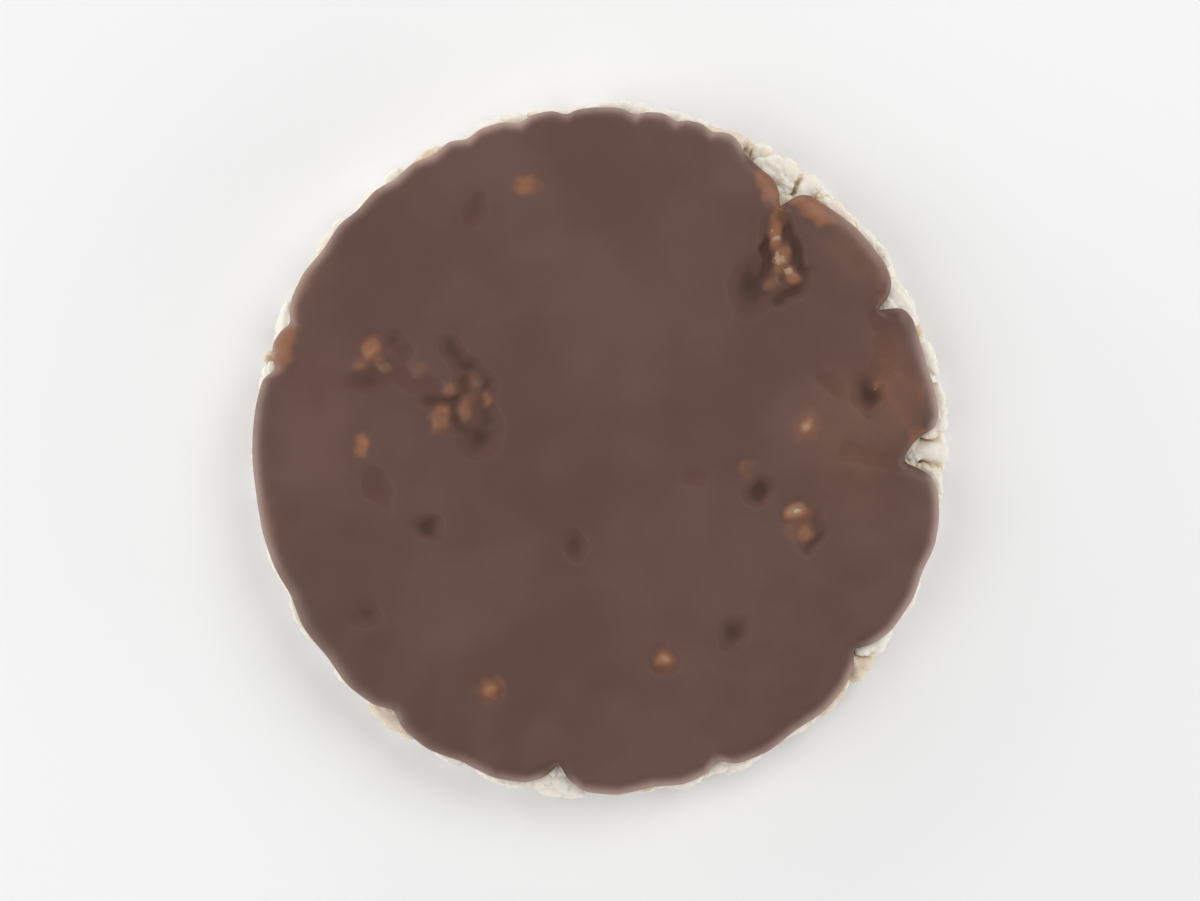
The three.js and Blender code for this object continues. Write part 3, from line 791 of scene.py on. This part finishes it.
def lip_run(angle):
    """How far down the lip runs at an angle."""
    nearest = np.minimum.reduce([coat_edge(angle + turn) for turn in (-LIP_FADE, 0, LIP_FADE)])
    wrap = smooth_step(nearest, COAT_RADIUS - LIP_REACH, COAT_RADIUS)
    return wrap * (LIP_RUN + LIP_RUN_SPREAD * (np.sin(5 * angle + 1) + np.sin(11 * angle + 2)) / 2)


def noise_at(points, size, shift):
    moved = Vector((shift, shift, shift))
    return np.array([noise.noise(Vector((x, y, 0)) / size + moved) for x, y in points])


def wander(points, far, size, first, second):
    """Small shifts to both sides, which change softly from place to place."""
    return far * np.stack([noise_at(points, size, first), noise_at(points, size, second)], axis=1)


def spot_distance(points, x, y, length, width, turn):
    """The distance from a long spot's middle, in which its outline is at 1."""
    across = (points - np.array((x, y)) * MM) @ np.array(Matrix.Rotation(math.radians(turn), 2))
    return np.hypot(across[:, 0] / (length * MM), across[:, 1] / (width * MM))


def thin_share(points):
    """How thin the chocolate is at each point, from 0 to 1."""
    near = points + wander(points, *FILM_WANDER)
    thin = np.zeros(len(points))
    for x, y, length, width, turn, strength in FILMS:
        away = spot_distance(near, x, y, length, width, turn)
        thin = np.maximum(thin, FILM_STRENGTH * strength * (1 - smooth_step(away, 0.2, 1.2)))
    return thin


def merged(a, b):
    """The larger of two depths, with a soft seam between them."""
    return (a ** 4 + b ** 4) ** 0.25


def sunk_depth(near):
    """How deep the pits and cracks are at each point."""
    depth = np.zeros(len(near))
    for x, y, length, width, turn, deep in PITS:
        away = spot_distance(near, x, y, length, width, turn)
        depth = merged(depth, deep * MM * (1 - smooth_step(away, 0.1, 1.3)))
    for width, deep, path in CRACKS:
        away = np.full(len(near), np.inf)
        for start, end in zip(path, path[1:]):
            a, b = np.array(start) * MM, np.array(end) * MM
            along = np.clip((near - a) @ (b - a) / ((b - a) @ (b - a)), 0, 1)
            away = np.minimum(away, np.linalg.norm(near - a - along[:, None] * (b - a), axis=1))
        depth = merged(depth, deep * MM * (1 - smooth_step(away / (width * MM), 0.1, 1.2)))
    return depth


def lump_rise(near, depth):
    """How far the skinned grains stand up out of the pits, and how golden they are, at each point."""
    rise, golden = np.zeros(len(near)), np.zeros(len(near))
    for x, y, length, width, turn, height, shine in LUMPS:
        away = spot_distance(near, x, y, length, width, turn)
        dome = np.sqrt(np.maximum(0, 1 - away ** 2))
        rise = np.maximum(rise, height * MM * dome)
        golden = np.maximum(golden, shine * (1 - smooth_step(away, 0.45, 1.1)))
    return np.minimum(rise, depth + LUMP_PROUD), golden


def kernel_waves(points):
    """The soft rise of the chocolate over the kernels beneath it, stronger towards the rim."""
    rise = np.zeros(len(points))
    for kernels, side, height in ((shoulder_kernels + high_row, 1, RIM_RISE), (base_kernels, -1, FACE_RISE)):
        for kernel in kernels:
            arms = points - side * np.array(kernel["middle"].xy)
            away = np.linalg.norm(arms @ gauge_matrix(kernel)[:, :2].T, axis=1)
            rise = np.maximum(rise, height * np.exp(-RISE_FALL * away ** 2))
    return rise


def coat_outline():
    """Evenly spaced points round the chocolate's edge, and those further in where its rounding starts."""
    around = 4 * GRID
    turns = CORNER_TURN + np.arange(20 * around) * 2 * math.pi / (20 * around)
    path = coat_edge(turns)[:, None] * np.stack([np.cos(turns), np.sin(turns)], axis=1)
    steps = np.linalg.norm(np.roll(path, -1, axis=0) - path, axis=1)
    run = np.concatenate([[0], np.cumsum(steps)])
    spots = np.arange(around) * run[-1] / around
    closed = np.vstack([path, path[:1]])
    edge = np.stack([np.interp(spots, run, closed[:, axis]) for axis in (0, 1)], axis=1)
    edge = softened(edge, EDGE_SOFTENING)
    along = np.roll(edge, -2, axis=0) - np.roll(edge, 2, axis=0)
    out = np.stack([along[:, 1], -along[:, 0]], axis=1)
    inset = softened(edge - EDGE_ROUND * out / np.linalg.norm(out, axis=1)[:, None], INSET_SOFTENING)
    return edge, inset


def softened(loop, passes):
    """A closed loop of points, each blended with those beside it."""
    for _ in range(passes):
        loop = (np.roll(loop, -1, axis=0) + 2 * loop + np.roll(loop, 1, axis=0)) / 4
    return loop


def disc_place(u, v):
    """The share of the radius and the angle at which a point of the square from -1 to 1 lies on a disc."""
    if u == 0 and v == 0:
        return 0.0, 0.0
    if abs(u) > abs(v):
        return abs(u), math.pi / 4 * (v / u) + (math.pi if u < 0 else 0)
    return abs(v), math.pi / 2 - math.pi / 4 * (u / v) + (math.pi if v < 0 else 0)


def evened(values):
    """Values on the grid, each blended with those round it; the grid's border is left as it is."""
    grid = values.reshape(GRID + 1, GRID + 1).copy()
    for _ in range(2):
        grid[1:-1] = (grid[:-2] + 2 * grid[1:-1] + grid[2:]) / 4
        grid[:, 1:-1] = (grid[:, :-2] + 2 * grid[:, 1:-1] + grid[:, 2:]) / 4
    return grid.ravel()


def coat_plan(edge, inset):
    """Where each point of the coat's top lies, seen from above."""
    turns = CORNER_TURN + np.arange(len(edge)) * 2 * math.pi / len(edge)
    shift = inset - COAT_RADIUS * np.stack([np.cos(turns), np.sin(turns)], axis=1)
    side = np.linspace(-1, 1, GRID + 1)
    places = np.array([disc_place(u, v) for v in side for u in side])
    share, angle = places[:, 0], places[:, 1]
    pull = smooth_step(share, 0.6, 1)[:, None] * np.stack(
        [np.interp(angle, turns, shift[:, axis], period=2 * math.pi) for axis in (0, 1)], axis=1)
    return COAT_RADIUS * share[:, None] * np.stack([np.cos(angle), np.sin(angle)], axis=1) + pull


def coat_top(flat):
    """How high the coat's top is at each point, how far it sank there and how golden it is."""
    radius, across = np.linalg.norm(flat, axis=1), np.arctan2(flat[:, 1], flat[:, 0])
    rise = LONG_RISE * np.sin(7 * radius / CAKE_RADIUS + 2 * across)
    rise += SHORT_RISE * np.sin(13 * radius / CAKE_RADIUS - 3 * across + 1)
    rise *= smooth_step(radius, 0, 0.3 * CAKE_RADIUS)
    large, small = [wander(flat, *values) for values in PIT_WANDERS]
    near = flat + (large + small)
    depth = sunk_depth(near)
    lumps, golden = lump_rise(near, depth)
    sunk = depth - lumps
    top = np.maximum(COAT_LEVEL + rise + kernel_waves(flat) - sunk, COAT_UNDER + COAT_LEAST)
    return evened(top), evened(sunk), evened(golden)


def coat_lip(edge, inset, border_top):
    """Rings of points that lead from the top's border round the edge to the lip and in under it."""
    low = COAT_UNDER - lip_run(np.arctan2(edge[:, 1], edge[:, 0]))
    out = (edge - inset) / np.linalg.norm(edge - inset, axis=1)[:, None]
    shoulder = COAT_UNDER + BELLY * (border_top - COAT_UNDER)
    rings = []
    for turn in np.linspace(0, math.pi, LIP_RINGS + 1)[1:]:
        drop = math.cos(turn)
        if drop > 0:
            place = inset + math.sin(turn) * (edge - inset)
            height = shoulder + drop * (border_top - shoulder)
        else:
            place = edge - (1 - math.sin(turn)) * LIP_THICKNESS * out
            height = shoulder + drop * (shoulder - low)
        rings.append(np.column_stack([place, height]))
    rings.append(np.column_stack([edge - (LIP_THICKNESS + LIP_TUCK) * out, np.full(len(edge), COAT_UNDER)]))
    return rings


def grid_border(n):
    """The numbers of the points round the border of a grid of n by n, in order."""
    last = n * (n - 1)
    return (list(range(n - 1)) + list(range(n - 1, n * n - 1, n))
            + list(range(n * n - 1, last, -1)) + list(range(last, 0, -n)))


def chocolate_coating():
    """The coat's points and faces, and how sunk and thin it is and how strong its painted edge highlight is
    at each point.
    """
    edge, inset = coat_outline()
    around = len(edge)
    flat = coat_plan(edge, inset)
    top, sunk, golden = coat_top(flat)
    n = GRID + 1
    border = grid_border(n)
    rings = coat_lip(edge, inset, top[border])
    points = np.vstack([np.column_stack([flat, top])] + rings + [[(0, 0, COAT_UNDER)]])
    faces = [(r * n + c, r * n + c + 1, (r + 1) * n + c + 1, (r + 1) * n + c)
             for r in range(GRID) for c in range(GRID)]
    loops = [border] + [range(n * n + k * around, n * n + (k + 1) * around) for k in range(len(rings))]
    for upper, lower in zip(loops, loops[1:]):
        for i in range(around):
            j = (i + 1) % around
            faces.append((upper[i], lower[i], lower[j], upper[j]))
    last = loops[-1]
    faces += [(last[i], len(points) - 1, last[(i + 1) % around]) for i in range(around)]
    lips = np.zeros(len(points) - n * n)
    thin = np.maximum(thin_share(points[:, :2]), np.concatenate([golden, lips]))
    reach = coat_edge(np.arctan2(points[:, 1], points[:, 0]))
    inwards = reach - np.linalg.norm(points[:, :2], axis=1)
    # Painted highlight along the rounded edge, strongest at the edge itself and only near the rim.
    edge_highlight = (1 - smooth_step(inwards, 0, EDGE_HIGHLIGHT_WIDTH)) * smooth_step(reach, *EDGE_HIGHLIGHT_REACH)
    return points, faces, np.concatenate([sunk, lips]), thin, edge_highlight


CHOCOLATE = (0.095, 0.042, 0.029, 1)
THIN_CHOCOLATE = (0.255, 0.1, 0.043, 1)
GOLDEN_CHOCOLATE = (0.34, 0.215, 0.14, 1)
POOLED_AND_SHADED_CHOCOLATE = (0.048, 0.02, 0.011, 1)
BLOOM = (0.14, 0.074, 0.055, 1)
# The pale colour of the painted highlight on the rounded edge.
PAINTED_EDGE_HIGHLIGHT = (0.36, 0.24, 0.195, 1)
SATIN = 0.46
# The scales of its patterns: clouds of bloom, soft waves and fine grit.
BLOOM_SCALE = 70
WAVE_SCALE = 330
GRIT_SCALE = 2600
CHOCOLATE_BUMP = 0.06 * MM


def chocolate_material():
    material = bpy.data.materials.new("milk_chocolate")
    material.use_nodes = True
    tree = material.node_tree
    place = add_node(tree, "ShaderNodeTexCoord").outputs["Object"]
    clouds = speckle(tree, place, BLOOM_SCALE, 4)
    grit = speckle(tree, place, GRIT_SCALE, 3)
    waves = speckle(tree, place, WAVE_SCALE, 3)
    sunk, thin, edge_highlight = [own_value(tree, name) for name in ("sunk", "thin", "edge_highlight")]
    thin = times(tree, thin, plus(tree, times(tree, ramp(tree, waves, 0.35, 0.65), 0.4), 0.8))
    # The painted edge highlight, patchy and weaker where the coat is thin.
    edge_highlight = times(tree, edge_highlight, plus(tree, times(tree, ramp(tree, clouds, 0.35, 0.6), 0.6), 0.4))
    edge_highlight = times(tree, edge_highlight, plus(tree, times(tree, ramp(tree, thin, 0.1, 0.5), -0.7), 1))
    colour = blended(tree, times(tree, ramp(tree, clouds, 0.4, 0.7), 0.4), CHOCOLATE, BLOOM)
    colour = blended(tree, ramp(tree, thin, 0, 0.6), colour, THIN_CHOCOLATE)
    # Darker in the pits: painted shade, together with the darker colour of chocolate pooled thick there.
    colour = blended(tree, ramp(tree, sunk, 0.1, 1.2), colour, POOLED_AND_SHADED_CHOCOLATE)
    colour = blended(tree, ramp(tree, thin, 0.5, 1), colour, GOLDEN_CHOCOLATE)
    colour = blended(tree, edge_highlight, colour, PAINTED_EDGE_HIGHLIGHT)
    height = plus(tree, times(tree, grit, 0.12), waves)
    bump = add_node(tree, "ShaderNodeBump", {"Height": height, "Strength": 0.5, "Distance": CHOCOLATE_BUMP})
    rough = plus(tree, times(tree, ramp(tree, clouds, 0.35, 0.7), 0.1), SATIN)
    rough = plus(tree, rough, times(tree, ramp(tree, sunk, 0, 0.1), 0.3))
    shader = tree.nodes["Principled BSDF"]
    tree.links.new(colour, shader.inputs["Base Color"])
    tree.links.new(bump.outputs["Normal"], shader.inputs["Normal"])
    tree.links.new(rough, shader.inputs["Roughness"])
    return material


coat_points, coat_faces, coat_sunk, coat_thin, coat_edge_highlight = chocolate_coating()
coat = mesh_piece("chocolate_coating_piece", coat_points, coat_faces, chocolate_material())
set_values(coat.data, "sunk", np.clip(coat_sunk / DARKEST_DEPTH, 0, 1))
set_values(coat.data, "thin", coat_thin)
set_values(coat.data, "edge_highlight", coat_edge_highlight)
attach(coat, "root")
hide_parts("chocolate_coating")


# Table, lights and camera: a pale table top under large soft lamps, seen from straight above.
TABLE_REACH = 0.8
TABLE_COLOUR = (0.9, 0.9, 0.9, 1)
TABLE_ROUGHNESS = 0.7
# The lamps, as (name, place, width, height, watts): two overhead, and strips that show in the edge.
LAMPS = (
    ("key_lamp", (0.36, 0.3, 0.55), 0.45, 0.45, 2.1), ("fill_lamp", (-0.45, -0.1, 0.48), 0.6, 0.6, 2.0),
    ("far_strip", (-0.2, 0.9, 0.18), 0.9, 0.22, 2.4), ("left_strip", (-0.9, 0.1, 0.18), 0.7, 0.22, 2.4),
    ("right_strip", (0.9, -0.15, 0.18), 0.7, 0.22, 2.4), ("near_strip", (0.2, -0.9, 0.18), 0.9, 0.22, 1.8),
)
ROOM_LIGHT = 0.29
# What the camera sees: a field this high at the level of the chocolate, in the photo's shape.
VIEW_HEIGHT = 118 * MM
LENS = 90
SENSOR = 36
FRAME_ASPECT = 1200 / 901


def plain_material(name, colour, roughness):
    material = bpy.data.materials.new(name)
    material.use_nodes = True
    shader = material.node_tree.nodes["Principled BSDF"]
    shader.inputs["Base Color"].default_value = colour
    shader.inputs["Roughness"].default_value = roughness
    return material


corners = [(x * TABLE_REACH, y * TABLE_REACH, 0) for x, y in ((-1, -1), (1, -1), (1, 1), (-1, 1))]
pale_table = plain_material("pale_table", TABLE_COLOUR, TABLE_ROUGHNESS)
table = mesh_piece("table", corners, [(0, 1, 2, 3)], pale_table)


def soft_lamp(name, place, width, height, power):
    data = bpy.data.lights.new(name, "AREA")
    data.shape = "RECTANGLE"
    data.size = width
    data.size_y = height
    data.energy = power
    lamp = bpy.data.objects.new(name, data)
    lamp.location = place
    lamp.rotation_euler = (-Vector(place)).to_track_quat("-Z", "Y").to_euler()
    bpy.context.scene.collection.objects.link(lamp)


for lamp_values in LAMPS:
    soft_lamp(*lamp_values)

world = bpy.data.worlds.new("soft_room")
world.use_nodes = True
world.node_tree.nodes["Background"].inputs["Color"].default_value = (1, 1, 1, 1)
world.node_tree.nodes["Background"].inputs["Strength"].default_value = ROOM_LIGHT
bpy.context.scene.world = world

camera_data = bpy.data.cameras.new("camera")
camera_data.lens = LENS
camera_data.sensor_width = SENSOR
camera = bpy.data.objects.new("camera", camera_data)
camera.location = (0, 0, COAT_TOP + VIEW_HEIGHT * FRAME_ASPECT * LENS / SENSOR)
bpy.context.scene.collection.objects.link(camera)
bpy.context.scene.camera = camera
bpy.context.scene.view_settings.view_transform = "Standard"
